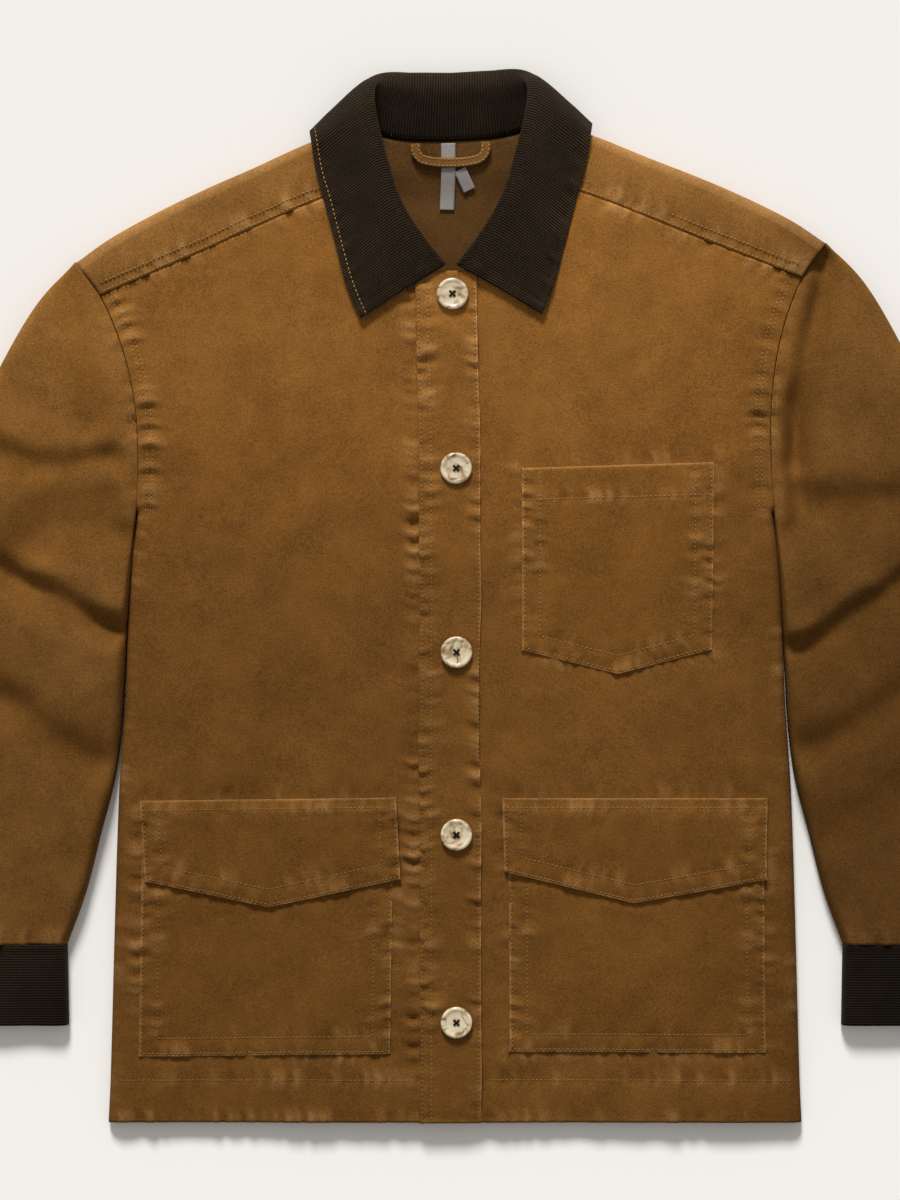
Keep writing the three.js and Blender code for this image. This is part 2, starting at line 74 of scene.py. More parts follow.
# Outer x and y, inner x and y, height, and how much of the armhole's bow the section follows.
SLEEVE = [(275, 254.6, 234.2, 62, 14, 1), (303, 224, 235.9, 40, 17, 0.8), (329, 180, 238.1, 12, 19, 0.5),
          (357, 122, 239.9, -20, 20, 0.25), (383, 58, 241.6, -55, 20, 0), (402, -12, 243.8, -92, 19, 0),
          (413, -82, 248.8, -130, 18, 0), (418, -150, 259, -170, 16, 0), (417, -208, 270, -213, 14, 0),
          (412, -252, 284, -252, 12.5, 0)]
# Folds of the sleeves: side, from, to, half-width, depth (a ridge where depth is negative).
FOLDS = [(-1, 236, 92, 330, 108, 10, 5), (-1, 245, -22, 322, 8, 10, 7), (-1, 330, 22, 392, -2, 11, 5),
         (-1, 262, -112, 345, -62, 15, 5), (-1, 246, 50, 312, 44, 14, 3.5), (-1, 300, 60, 372, 52, 18, 3),
         (-1, 280, 232, 262, 130, 9, 2.5), (-1, 250, -5, 300, 24, 9, -2.5), (-1, 262, -60, 330, -30, 16, -2),
         (1, 270, 228, 246, 90, 9, 9), (1, 243, 130, 246, 66, 8, 6), (1, 250, 52, 345, 88, 10, 5),
         (1, 252, -42, 352, 20, 11, 7), (1, 258, -98, 362, -46, 13, 5), (1, 256, -28, 300, 6, 10, -3),
         (1, 300, 170, 285, 100, 16, -2), (1, 270, -160, 330, -140, 14, 2.5)]
# From the back's middle to the front end, the points of the neck seam, stand, roll, turn, fall and edge.
COLLAR = [
    ((0, 337.2, 6), (0, 357, 13), (0, 374, 17), (0, 385, 9), (0, 353, 0), (0, 322, 0)),
    ((30, 338.4, 6), (28, 358, 13), (26, 375, 17), (27, 386, 9), (34, 354, 0), (38, 322, 0)),
    ((52, 343, 6), (48, 362, 13), (44, 377, 17), (48, 386.5, 9), (62, 355, 0), (76, 323, 0)),
    ((63, 349, 8), (58, 364, 14), (52, 378.5, 18), (60, 383, 10), (81, 358, 1), (97, 334, 0)),
    ((67, 351, 12), (61, 362, 18), (55, 375, 22), (66, 376, 20), (88, 360, 12), (103, 346, 8)),
    ((67.5, 345, 16.6), (61, 353, 22), (55, 363, 26.5), (63, 362, 27), (82, 351, 22), (102, 337, 17.5)),
    ((66.5, 328, 17), (59, 335, 23), (51.5, 343, 28), (59, 342, 28.5), (76, 330, 23), (98, 313, 17.4)),
    ((63.5, 306, 17), (55, 311, 23), (45, 318, 28), (53, 317, 28.5), (70, 305, 22.5), (91.5, 290, 17.4)),
    ((54, 284, 17), (46, 287, 22), (36, 291, 26), (44, 290, 27), (62, 278, 22), (84, 261, 17.4)),
    ((36, 263, 17), (29, 264, 20), (20, 265, 23), (29, 262, 24), (51, 249, 21), (76, 231, 17.4)),
    ((8, 245, 17.4), (6, 244.8, 17.9), (3.5, 244.4, 18.4), (14, 238, 18.6), (38, 224, 18.4), (66, 206.5, 17.8))]
# Upper inner, upper outer, lower outer and lower inner corner, then the point of the lower edge.
PATCHES = {
    "chest_pocket": ([(49, 96), (189, 100), (187.5, -36), (49, -36.5)], (119, -54)),
    "pocket_right": ([(-45, -160), (-228, -160), (-231, -333.5), (-47.5, -331.5)], None),
    "pocket_left": ([(39, -158), (225, -158), (227, -330.5), (40, -330)], None),
    "flap_right": ([(-43, -144), (-230, -146.5), (-226, -205), (-40, -203.5)], (-136, -224)),
    "flap_left": ([(34.5, -144.5), (228, -144.5), (227, -204), (36, -198)], (130, -221))}
PLACKET_RIGHT, PLACKET_LEFT, PLACKET_TOP = -25.5, 19, 240
BUTTONS = 5
CUFF_LENGTH = 59
PATCH_WIDTH, POCKET_LENGTH, FLAP_LENGTH = 188, 180, 82

# ---------- relief and colour ----------
PUCKER_GAIN, FOLD_GAIN, FOLD_SPREAD = 1.5, 1.6, 1.25
ROPE_CELLS, ROPE_REACH = 8192, 8000
WALE_PITCH = 1.9
INSIDE_SHADE, LOOP_SHADE, RIBBON_SHADE = 0.34, 0.6, 0.75
# Painted light and shade: how bright the cloth's colour is by place, in metres along the jacket and across it.
PAINTED_LIGHT_ALONG = [(-0.4, 0.5), (-0.2, 0.54), (0.0, 0.61), (0.12, 0.82), (0.25, 1.0), (0.4, 1.0)]
PAINTED_LIGHT_ACROSS = [(-0.42, 1.04), (-0.2, 1.0), (0.05, 1.08), (0.2, 1.02), (0.27, 0.74), (0.42, 0.7)]


# ---------- small maths ----------
def along(table, at):
    """Smooth value of a two-column table at a value of its first column."""
    rows = np.array(sorted(table), float)
    key, value = rows[:, 0], rows[:, 1]
    at = np.clip(np.asarray(at, float), key[0], key[-1])
    i = np.clip(np.searchsorted(key, at, side="right") - 1, 0, len(key) - 2)
    before, after = np.maximum(np.arange(len(key)) - 1, 0), np.minimum(np.arange(len(key)) + 1, len(key) - 1)
    slope = (value[after] - value[before]) / (key[after] - key[before])
    span = key[i + 1] - key[i]
    t = (at - key[i]) / span
    bend = (t - 1) * t * ((t - 1) * slope[i] + t * slope[i + 1]) * span
    return value[i] + (value[i + 1] - value[i]) * t * t * (3 - 2 * t) + bend


def smooth(v):
    v = np.clip(v, 0, 1)
    return v * v * (3 - 2 * v)


def mix(a, b, t):
    return a + (b - a) * t


def rounded(d, reach):
    return (1 - (1 - np.clip(d / reach, 0, 1)) ** EDGE_POWER) ** (1 / EDGE_POWER)


def lay(x, y):
    up = smooth((y - ARMPIT_Y) / 180)
    return x - 3 * up, y + 0.026 * x * up


def point(x, y, z):
    x, y, z = np.broadcast_arrays(np.asarray(x, float), np.asarray(y, float), np.asarray(z, float))
    laid_x, laid_y = lay(x, y)
    return np.stack([laid_x, laid_y, z], -1)


def blurred(shape, sigma, seed):
    """Random field of unit spread, smoothed over sigma cells and wrapping at its ends."""
    raw = np.random.default_rng(seed).normal(size=shape)
    freq = sum(f**2 for f in np.meshgrid(*[np.fft.fftfreq(n) for n in shape], indexing="ij"))
    soft = np.real(np.fft.ifftn(np.fft.fftn(raw) * np.exp(-2 * (math.pi * sigma) ** 2 * freq)))
    return soft / soft.std()


STEP = 2.0
FIELDS = {size: blurred((512, 512), size / STEP, int(size)) for size in (4, 9, 20, 45)}
ROPE = blurred((ROPE_CELLS,), 1.75, 7)
SLOW = blurred((ROPE_CELLS,), 14, 8)


def field(size, x, y):
    grid = FIELDS[size]
    u, v = (np.asarray(x) / STEP) % 512, (np.asarray(y) / STEP) % 512
    i, j = np.floor(u).astype(int) % 512, np.floor(v).astype(int) % 512
    a, b = u - np.floor(u), v - np.floor(v)
    top = mix(grid[i, j], grid[(i + 1) % 512, j], a)
    return mix(top, mix(grid[i, (j + 1) % 512], grid[(i + 1) % 512, (j + 1) % 512], a), b)


def near(line, x, y):
    """Distance to a plan line, and how far along it."""
    best, run, start = np.full(np.shape(x), 1e9), np.zeros(np.shape(x)), 0.0
    for (ax, ay), (bx, by) in zip(line[:-1], line[1:]):
        long = math.hypot(bx - ax, by - ay)
        t = np.clip(((x - ax) * (bx - ax) + (y - ay) * (by - ay)) / long**2, 0, 1)
        d = np.hypot(x - ax - t * (bx - ax), y - ay - t * (by - ay))
        run, best = np.where(d < best, start + t * long, run), np.minimum(d, best)
        start += long
    return best, run


# ---------- the body's faces ----------
def to_side(x, y):
    low = along(SIDE, y) - np.abs(x)
    high = np.hypot(np.abs(x) - along(SIDE, ARMPIT_Y), y - ARMPIT_Y)
    return np.where(y <= ARMPIT_Y, low, high)


def front_z(x, y):
    return mix(2 * CANVAS + GAP, along(BODY_HEIGHT, y), rounded(to_side(x, y), EDGE_ROUND))


def back_z(x, y):
    rise = CORDUROY + 2 * GAP
    return CANVAS + rise * smooth((y - 292) / 26) * (1 - smooth((np.abs(x) - 106) / 30))


def offset(line, by):
    """A plan line moved sideways, to the left of its own direction."""
    p = np.array(line, float)
    t = np.gradient(p, axis=0)
    t /= np.linalg.norm(t, axis=1)[:, None]
    return [tuple(q) for q in p + by * np.stack([-t[:, 1], t[:, 0]], -1)]


def patch_outline(name, inset):
    (a, b, c, d), tip = PATCHES[name]
    path = [a, b, c] + ([tip] if tip else []) + [d]
    middle = np.mean(np.array(path), axis=0)
    moved = []
    for i, p in enumerate(path):
        before, after = path[i - 1], path[(i + 1) % len(path)]
        n = []
        for q, r in ((before, p), (p, after)):
            v = np.array([-(r[1] - q[1]), r[0] - q[0]], float)
            v /= np.linalg.norm(v)
            n.append(v * np.sign(np.dot(v, middle - np.array(p))))
        moved.append(tuple(np.array(p) + inset * (n[0] + n[1]) / (1 + np.dot(n[0], n[1]))))
    return moved


armhole = [(float(along(SIDE, y)), float(y)) for y in np.linspace(ARMPIT_Y, 229, 12)]
yoke = YOKE_SEAM
both = lambda line: [line, [(-x, y) for x, y in line]]
hem_stitch = [(-252, HEM_Y + HEM_BAND), (252, HEM_Y + HEM_BAND)]
rows_front = []
for line in both([(x - 9, y) for x, y in armhole]):
    rows_front.append((line, 0.95, 8))
for line in both([(x, y - 3) for x, y in yoke]):
    rows_front.append((line, 0.55, 6))
rows_front.append((hem_stitch, 0.5, 7))
rows_front.append(([(-252, HEM_Y + 3), (252, HEM_Y + 3)], 0.5, 5))
rows_front.append(([(-30, 240), (-30, HEM_Y)], 0.7, 6))
for name in PATCHES:
    outline = patch_outline(name, -3)
    rows_front.append((outline + outline[:1], 0.4, 6))
for line in both([(float(along(SIDE, y)) - 3, float(y)) for y in np.linspace(HEM_Y, ARMPIT_Y, 14)]):
    rows_front.append((line, 0.22, 7))
rows_yoke = [(line, 0.7, 7) for line in both([(x, y + 6) for x, y in yoke])]
PATCH_ROWS = {}
for name in PATCHES:
    edge, inner = patch_outline(name, 2), patch_outline(name, 13)
    if name.startswith("flap"):
        top_row = [mix(np.array(edge[0]), np.array(edge[1]), t) - (0, 5) for t in (0.0, 1.0)]
        lines = [edge[1:] + edge[:1], inner[1:] + inner[:1], [tuple(p) for p in top_row]]
        lines[1][0] = (inner[1][0], inner[1][1] + 4)
        lines[1][-1] = (inner[0][0], inner[0][1] + 4)
    else:
        lines = [edge[1:] + edge[:1], inner[1:] + inner[:1]]
        lines[1][0] = (inner[1][0], edge[1][1])
        lines[1][-1] = (inner[0][0], edge[0][1])
        if name == "chest_pocket":
            lines.append([(edge[0][0], edge[0][1] - 21), (edge[1][0], edge[1][1] - 21)])
    PATCH_ROWS[name] = lines
stitched_at = (PLACKET_RIGHT + 1.5, PLACKET_RIGHT + 8.5, PLACKET_LEFT - 2)
PLACKET_STITCHES = [[(x, PLACKET_TOP - 4), (x, HEM_Y + 2)] for x in stitched_at]


def puckers(rows, x, y):
    """Height and rubbed-ness of the ropy puckers that shrunk stitching pulls up beside itself."""
    height, rub = np.zeros(np.shape(x)), np.zeros(np.shape(x))
    for k, (line, amount, reach) in enumerate(rows):
        d, run = near(line, x, y)
        fade = np.exp(-((d / reach) ** 2))
        place = (run + 0.25 * d + 611 * k) % ROPE_REACH
        wave = np.interp(place, np.arange(ROPE_CELLS), ROPE)
        gain = np.clip(0.8 + 0.45 * np.interp(place, np.arange(ROPE_CELLS), SLOW), 0.15, 1.6)
        height += amount * fade * gain * wave * PUCKER_GAIN - 0.3 * np.exp(-((d / 1.7) ** 2))
        rub += 0.9 * fade * gain * np.clip(0.1 + 0.5 * wave, 0, 1.1)
    return height, rub


def soft(x, y, scale=1.0):
    fine, broad = 0.06 * field(4, x, y) + 0.22 * field(9, x, y), 0.38 * field(20, x, y)
    return scale * (fine + broad + 0.5 * field(45, x, y))


def front_top(x, y):
    """Outer face of the fronts with their puckers, and how rubbed it is."""
    height, rub = puckers(rows_front, x, y)
    keep = smooth(to_side(x, y) / 14)
    return front_z(x, y) + keep * (height + soft(x, y)), rub


def patch_top(name, x, y):
    base, _ = front_top(x, y)
    rows = [(line, 0.55, 6) for line in PATCH_ROWS[name]]
    height, rub = puckers(rows, x, y)
    on = CANVAS + GAP
    if name.startswith("flap"):
        flap_edge = PATCHES[name][0][0][1]
        on = FOLDED + GAP + (CANVAS + GAP + 0.7) * smooth((flap_edge - 2 - y) / 9)
    return base + on + height + 0.3, rub


def placket_top(x, y):
    height, rub = puckers([(line, 0.75, 7) for line in PLACKET_STITCHES], x, y)
    return front_top(np.zeros(np.shape(x)), y)[0] + FOLDED + GAP + height * 0.8 + 0.3, rub


# ---------- shaders ----------
def srgb(r, g, b):
    return [((c / 255 + 0.055) / 1.055) ** 2.4 if c > 10 else c / 3295 for c in (r, g, b)] + [1.0]


def new_group(name, inputs, outputs):
    group = bpy.data.node_groups.new(name, "ShaderNodeTree")
    for title, kind, value in inputs:
        socket = group.interface.new_socket(title, in_out="INPUT", socket_type=kind)
        socket.default_value = value
    for title, kind in outputs:
        group.interface.new_socket(title, in_out="OUTPUT", socket_type=kind)
    return group, group.nodes.new("NodeGroupInput"), group.nodes.new("NodeGroupOutput")


def node(tree, kind, **values):
    made = tree.nodes.new("ShaderNode" + kind)
    for key, value in values.items():
        if key in made.inputs:
            made.inputs[key].default_value = value
        else:
            setattr(made, key, value)
    return made


def wear_and_painted_light_group():
    """Colour of cloth worn by washing: paler where it is rubbed, mottled all over, and scaled by the painted
    light and shade of the fade attribute; and its fine surface height.
    """
    group, given, result = new_group(
        "washed cloth and painted light",
        [
            ("Colour", "NodeSocketColor", (0.2, 0.1, 0.03, 1)),
            ("Rubbed colour", "NodeSocketColor", (0.4, 0.25, 0.1, 1)),
            ("Mottle", "NodeSocketFloat", 0.3),
            ("Grain size", "NodeSocketFloat", 900.0),
            ("Rub", "NodeSocketFloat", 0.5),
        ],
        [("Colour", "NodeSocketColor"), ("Height", "NodeSocketFloat")])
    link = group.links.new
    place = node(group, "TexCoord")
    rub = node(group, "Attribute", attribute_name="rub")
    # The fade attribute holds the painted light and shade of each place.
    painted_light = node(group, "Attribute", attribute_name="fade")
    amount = node(group, "Math", operation="MULTIPLY", use_clamp=True)
    link(rub.outputs["Fac"], amount.inputs[0])
    link(given.outputs["Rub"], amount.inputs[1])
    fade = node(group, "Mix", data_type="RGBA")
    link(amount.outputs[0], fade.inputs["Factor"])
    link(given.outputs["Colour"], fade.inputs[6])
    link(given.outputs["Rubbed colour"], fade.inputs[7])
    blotch = node(group, "TexNoise", Scale=24.0, Detail=9.0, Roughness=0.78)
    grain = node(group, "TexNoise", Detail=2.0)
    link(given.outputs["Grain size"], grain.inputs["Scale"])
    for noise_node in (blotch, grain):
        link(place.outputs["Object"], noise_node.inputs["Vector"])
    both_noise = node(group, "Math", operation="ADD")
    link(blotch.outputs["Fac"], both_noise.inputs[0])
    link(grain.outputs["Fac"], both_noise.inputs[1])
    centred = node(group, "Math", operation="SUBTRACT")
    link(both_noise.outputs[0], centred.inputs[0])
    centred.inputs[1].default_value = 1.0
    gain = node(group, "Math", operation="MULTIPLY_ADD")
    link(centred.outputs[0], gain.inputs[0])
    link(given.outputs["Mottle"], gain.inputs[1])
    gain.inputs[2].default_value = 1.0
    strength = node(group, "Math", operation="MULTIPLY")
    link(gain.outputs[0], strength.inputs[0])
    link(painted_light.outputs["Fac"], strength.inputs[1])
    tint = node(group, "VectorMath", operation="SCALE")
    link(fade.outputs[2], tint.inputs[0])
    link(strength.outputs[0], tint.inputs["Scale"])
    link(tint.outputs[0], result.inputs["Colour"])
    link(grain.outputs["Fac"], result.inputs["Height"])
    return group


WASHED_AND_PAINTED_LIGHT = wear_and_painted_light_group()


def cloth_material(
    name, colour, rubbed, mottle=1.35, grain=850.0, rub=0.5, wales=False, sheen=0.0, rough=0.95
):
    material = bpy.data.materials.new(name)
    material.use_nodes = True
    tree = material.node_tree
    shader = tree.nodes["Principled BSDF"]
    shader.inputs["Roughness"].default_value = rough
    shader.inputs["Specular IOR Level"].default_value = 0.06
    shader.inputs["Sheen Weight"].default_value = sheen
    # This group gives the cloth its wear and mottle, and paints light and shade into its colour from the fade
    # attribute.
    wash_and_painted_light = tree.nodes.new("ShaderNodeGroup")
    wash_and_painted_light.node_tree = WASHED_AND_PAINTED_LIGHT
    values = {"Colour": srgb(*colour), "Rubbed colour": srgb(*rubbed)}
    values.update({"Mottle": mottle, "Grain size": grain, "Rub": rub})
    for key, value in values.items():
        wash_and_painted_light.inputs[key].default_value = value
    bump = node(tree, "Bump", Strength=0.5, Distance=0.0004)
    colour_out, height_out = wash_and_painted_light.outputs["Colour"], wash_and_painted_light.outputs["Height"]
    if wales:
        # Fine ribs of pile with dark grooves between them; the grooves' darkness is painted shade.
        rib = node(tree, "Attribute", attribute_name="wale")
        wave = node(tree, "Math", operation="SINE")
        turn = node(tree, "Math", operation="MULTIPLY")
        turn.inputs[1].default_value = 2 * math.pi / WALE_PITCH
        tree.links.new(rib.outputs["Fac"], turn.inputs[0])
        tree.links.new(turn.outputs[0], wave.inputs[0])
        shade = node(tree, "Math", operation="MULTIPLY_ADD")
        shade.inputs[1].default_value, shade.inputs[2].default_value = 0.45, 0.8
        tree.links.new(wave.outputs[0], shade.inputs[0])
        tint = node(tree, "VectorMath", operation="SCALE")
        tree.links.new(colour_out, tint.inputs[0])
        tree.links.new(shade.outputs[0], tint.inputs["Scale"])
        colour_out, height_out = tint.outputs[0], wave.outputs[0]
        bump.inputs["Strength"].default_value = 0.7
    tree.links.new(colour_out, shader.inputs["Base Color"])
    tree.links.new(height_out, bump.inputs["Height"])
    tree.links.new(bump.outputs["Normal"], shader.inputs["Normal"])
    return material


RUBBED = (186, 136, 80)
MATERIALS = {
    "front": cloth_material("canvas fronts", (133, 88, 38), RUBBED, rub=0.5),
    "sleeve": cloth_material("canvas sleeves", (129, 86, 37), RUBBED, rub=0.4),
    "back": cloth_material("canvas back", (131, 89, 42), (178, 134, 84), rub=0.6),
    "pocket": cloth_material("canvas pockets", (133, 88, 37), RUBBED, rub=0.5),
    "collar": cloth_material(
        "corduroy", (42, 32, 21), (76, 60, 42), mottle=1.6, rub=0.35, wales=True, sheen=0.05),
    "thread": cloth_material("tan thread", (168, 128, 76), (190, 150, 96), mottle=0.6, rough=0.7),
    "dark thread": cloth_material("dark thread", (40, 28, 20), (60, 44, 30), mottle=0.4, rough=0.7),
    "ribbon": cloth_material("grey ribbon", (150, 143, 137), (185, 180, 175), mottle=0.5, rough=0.45)}


# ---------- meshes ----------
def painted_light(placed):
    """Painted light and shade in the cloth's colour: darker towards the hem and on the left sleeve."""
    return along(PAINTED_LIGHT_ALONG, placed[:, 1]) * along(PAINTED_LIGHT_ACROSS, placed[:, 0])


def add_mesh(name, verts, faces, material, **attributes):
    mesh = bpy.data.meshes.new(name)
    placed = (verts + np.array([0, SHIFT_Y, 0])) * MM
    mesh.vertices.add(len(placed))
    mesh.vertices.foreach_set("co", placed.astype(np.float32).ravel())
    faces = np.asarray(faces, np.int32)
    mesh.loops.add(faces.size)
    mesh.loops.foreach_set("vertex_index", faces.ravel())
    mesh.polygons.add(len(faces))
    mesh.polygons.foreach_set("loop_start", np.arange(0, faces.size, faces.shape[1], dtype=np.int32))
    mesh.polygons.foreach_set("use_smooth", np.ones(len(faces), bool))
    mesh.update(calc_edges=True)
    mesh.validate()
    # By default the fade attribute paints light and shade by place: darker towards the hem and on the left
    # sleeve.
    attributes.setdefault("fade", painted_light(placed))
    for key, values in attributes.items():
        layer = mesh.attributes.new(key, "FLOAT", "POINT")
        layer.data.foreach_set("value", np.asarray(values, np.float32).ravel())
    mesh.materials.append(MATERIALS[material])
    made = bpy.data.objects.new(name, mesh)
    bpy.context.scene.collection.objects.link(made)
    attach(made, "root")
    return made


def shell(name, rows, thickness, material, wrap=False, rub=None, wale=None, cells=None, shade=None):
    """A closed sheet with its outer face on a grid of points; cells says which of them are cloth."""
    n, m = rows.shape[:2]
    down = np.gradient(rows, axis=0)
    if wrap:
        across = np.roll(rows, -1, axis=1) - np.roll(rows, 1, axis=1)
    else:
        across = np.gradient(rows, axis=1)
    normal = np.cross(down, across)
    normal /= np.maximum(np.linalg.norm(normal, axis=2), 1e-9)[..., None]
    verts = np.concatenate([rows.reshape(-1, 3), (rows - thickness * normal).reshape(-1, 3)])
    # Nothing goes below the surface. Where a fold is deeper than its sleeve, the cloth's faces meet there.
    verts[:, 2] = np.maximum(verts[:, 2], 0)
    width = m if wrap else m - 1
    i, j = np.meshgrid(np.arange(n - 1), np.arange(width), indexing="ij")
    keep = np.ones((n - 1, width), bool) if cells is None else cells
    index = lambda a, b: a * m + b % m
    a, b, c, d = index(i, j), index(i, j + 1), index(i + 1, j + 1), index(i + 1, j)
    half = n * m
    quads = [np.stack([a, d, c, b], -1)[keep], np.stack([a, b, c, d], -1)[keep] + half]
    pad = np.pad(keep, ((1, 1), (0, 0))) if wrap else np.pad(keep, 1)
    if wrap:
        before, after, left, right = pad[:-2], pad[2:], np.roll(keep, 1, 1), np.roll(keep, -1, 1)
    else:
        before, after, left, right = pad[:-2, 1:-1], pad[2:, 1:-1], pad[1:-1, :-2], pad[1:-1, 2:]
    for open_side, p, q in ((before, a, b), (after, c, d), (left, d, a), (right, b, c)):
        rim = keep & ~open_side
        quads.append(np.stack([p[rim], q[rim], q[rim] + half, p[rim] + half], -1))
    faces = np.concatenate(quads)
    used, faces = np.unique(faces, return_inverse=True)
    faces = faces.reshape(-1, 4)
    extra = {}
    for key, values in (("rub", rub), ("wale", wale)):
        if values is not None:
            extra[key] = np.concatenate([values.ravel(), values.ravel()])[used]
    # Painted shade: where shade is given, it darkens the painted light of the fade attribute further.
    if shade is not None:
        shade = np.concatenate([shade.ravel(), shade.ravel()])[used]
        extra["fade"] = painted_light((verts[used] + [0, SHIFT_Y, 0]) * MM) * shade
    made = add_mesh(name + "_cloth", verts[used], faces, material, **extra)
    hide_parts(name)
    return made


STITCHES = []


def stitch(points, pitch=3.3, long=2.5, thick=0.42):
    """Adds a row of stitches along a line of laid points."""
    p = np.asarray(points, float)
    run = np.concatenate([[0], np.cumsum(np.linalg.norm(np.diff(p, axis=0), axis=1))])
    starts = np.arange(1, run[-1] - long, pitch)
    at = lambda s: np.stack([np.interp(s, run, p[:, k]) for k in range(3)], -1)
    a, b = at(starts), at(starts + long)
    t = (b - a) / np.linalg.norm(b - a, axis=1)[:, None]
    side = np.stack([-t[:, 1], t[:, 0], np.zeros(len(t))], -1) * thick
    lift = np.array([0, 0, thick * 1.1])
    parts = [a - lift * 0.6, b - lift * 0.6]
    for share in (0.22, 0.78):
        q = mix(a, b, share)
        parts += [q + side, q + lift, q - side, q - lift]
    STITCHES.append(np.stack(parts, 1))


def plan_stitch(line, top, **options):
    p = np.array(line, float)
    run = np.concatenate([[0], np.cumsum(np.linalg.norm(np.diff(p, axis=0), axis=1))])
    s = np.linspace(0, run[-1], max(3, int(run[-1] / 2)))
    x, y = np.interp(s, run, p[:, 0]), np.interp(s, run, p[:, 1])
    stitch(point(x, y, top(x, y)[0] + 0.12), **options)


def share_steps(length):
    return np.linspace(0, 1, int(length / CELL) + 1)


# Fronts
def build_front(name, side):
    edge = 13 if side < 0 else -12

    def top_y(x):
        neckline = along(FRONT_NECK, np.minimum(x, NECK_HALF))
        return np.where(x < NECK_HALF, neckline, along(YOKE_SEAM, x)) - GAP

    corner = YOKE_SEAM[-1][0]
    share, t = share_steps(262), share_steps(640)[:, None]
    inset = np.array([6, 3, 1.2, 0.4, 0])
    wide = along(SIDE, mix(HEM_Y, top_y(np.array(corner * 1.0)), t))
    x = np.concatenate([mix(edge, wide - EDGE_ROUND, share[None, :]), wide - inset[None, :]], 1)
    level = np.clip((x - edge) / (wide - edge), 0, 1)
    y = mix(HEM_Y, top_y(np.maximum(mix(edge, corner, level), 0)), t)
    z, rub = front_top(side * x, y)
    rows = point(side * x, y, z)
    if side < 0:
        rows, rub = rows[:, ::-1], rub[:, ::-1]
    made = shell(name, rows[::-1], CANVAS, "front", rub=rub[::-1])


build_front("front_left", 1)
build_front("front_right", -1)


# Back
def build_back():
    tip = SIDE[-1][1]
    x = np.linspace(-tip, tip, 2 * int(tip / CELL) + 1)[None, :]
    shoulder = along(SHOULDER, np.abs(x)) - FOLD_RADIUS
    top_y = np.where(np.abs(x) < NECK_HALF, along(BACK_NECK, np.minimum(np.abs(x), NECK_HALF)), shoulder)
    t = np.concatenate([np.linspace(0, 0.84, 70), np.linspace(0.845, 1, 40)])[:, None]
    y = mix(HEM_Y, top_y, t)
    wide = along(SIDE, y) * x / tip
    ripple = 0.25 * np.clip(field(20, wide, y), 0, 2)
    in_neck = smooth((y - 250) / 40) * (np.abs(x) < NECK_HALF)
    flat = point(wide, y, back_z(wide, y) - CANVAS + ripple * in_neck)
    past_neck = (np.abs(x) - NECK_HALF) / (tip - NECK_HALF)
    across = lambda outer: np.sign(x) * mix(NECK_HALF, along(SIDE, outer), past_neck)
    tip_y = float(along(SHOULDER, tip)) - FOLD_RADIUS
    parts, rubs = [flat], [0.25 + 0 * flat[..., 0]]
    for turn in np.linspace(0.1, 1, 10):
        out = FOLD_RADIUS * math.sin(math.pi * turn)
        low, high = back_z(x, shoulder) - CANVAS, along(BODY_HEIGHT, shoulder)
        lift = mix(low, high, (1 - math.cos(math.pi * turn)) / 2)
        parts.append(point(across(tip_y + out), shoulder + out, lift))
        rubs.append(0.5 + 0 * x)
    for t in np.linspace(0.06, 1, 16):
        outer = mix(tip_y, YOKE_SEAM[-1][1], t)
        seam_x = across(YOKE_SEAM[-1][1])
        px, py = across(outer), mix(shoulder, along(YOKE_SEAM, np.abs(seam_x)), t)
        height, rub = puckers(rows_yoke, px, py)
        relief = smooth(6 * t) * (height + soft(px, py, 0.7))
        z = along(BODY_HEIGHT, py) + relief + 0.8 * math.sin(math.pi * t)
        parts.append(point(px, py, z))
        rubs.append(rub)
    rows = np.concatenate(parts)
    rub = np.concatenate(rubs)
    middle = np.abs((x[0, 1:] + x[0, :-1]) / 2) > NECK_HALF
    cells = np.ones((rows.shape[0] - 1, rows.shape[1] - 1), bool)
    cells[len(flat) - 1 :] = middle[None, :]
    inside = np.ones(rub.shape)
    inside[: len(flat)] = INSIDE_SHADE
    made = shell("back", rows, CANVAS, "back", rub=rub, cells=cells, shade=inside)


build_back()


# Sleeves and cuffs
def fold_depth(side, x, y):
    total = np.zeros(np.shape(x))
    for which, x0, y0, x1, y1, width, depth in FOLDS:
        if which != side:
            continue
        wander = 7 * field(20, x + 40, y)
        d, run = near([(x0, y0), (x1, y1)], x, y + wander)
        long = math.hypot(x1 - x0, y1 - y0)
        uneven = 0.75 + 0.25 * np.cos(2 * math.pi * run / long)
        total += FOLD_GAIN * depth * np.exp(-((d / (FOLD_SPREAD * width)) ** 2)) * uneven
    return total


def armhole_bow(share):
    y = mix(SLEEVE[0][3], SIDE[-1][0], share)
    return along(SIDE, y) + 0.05 - mix(SLEEVE[0][2], SIDE[-1][1], share)


def cuff_relief(x, y):
    return soft(x, y, 0.8) + 0.3 * field(9, x, y), 0.3 + 0.3 * field(20, x, y)


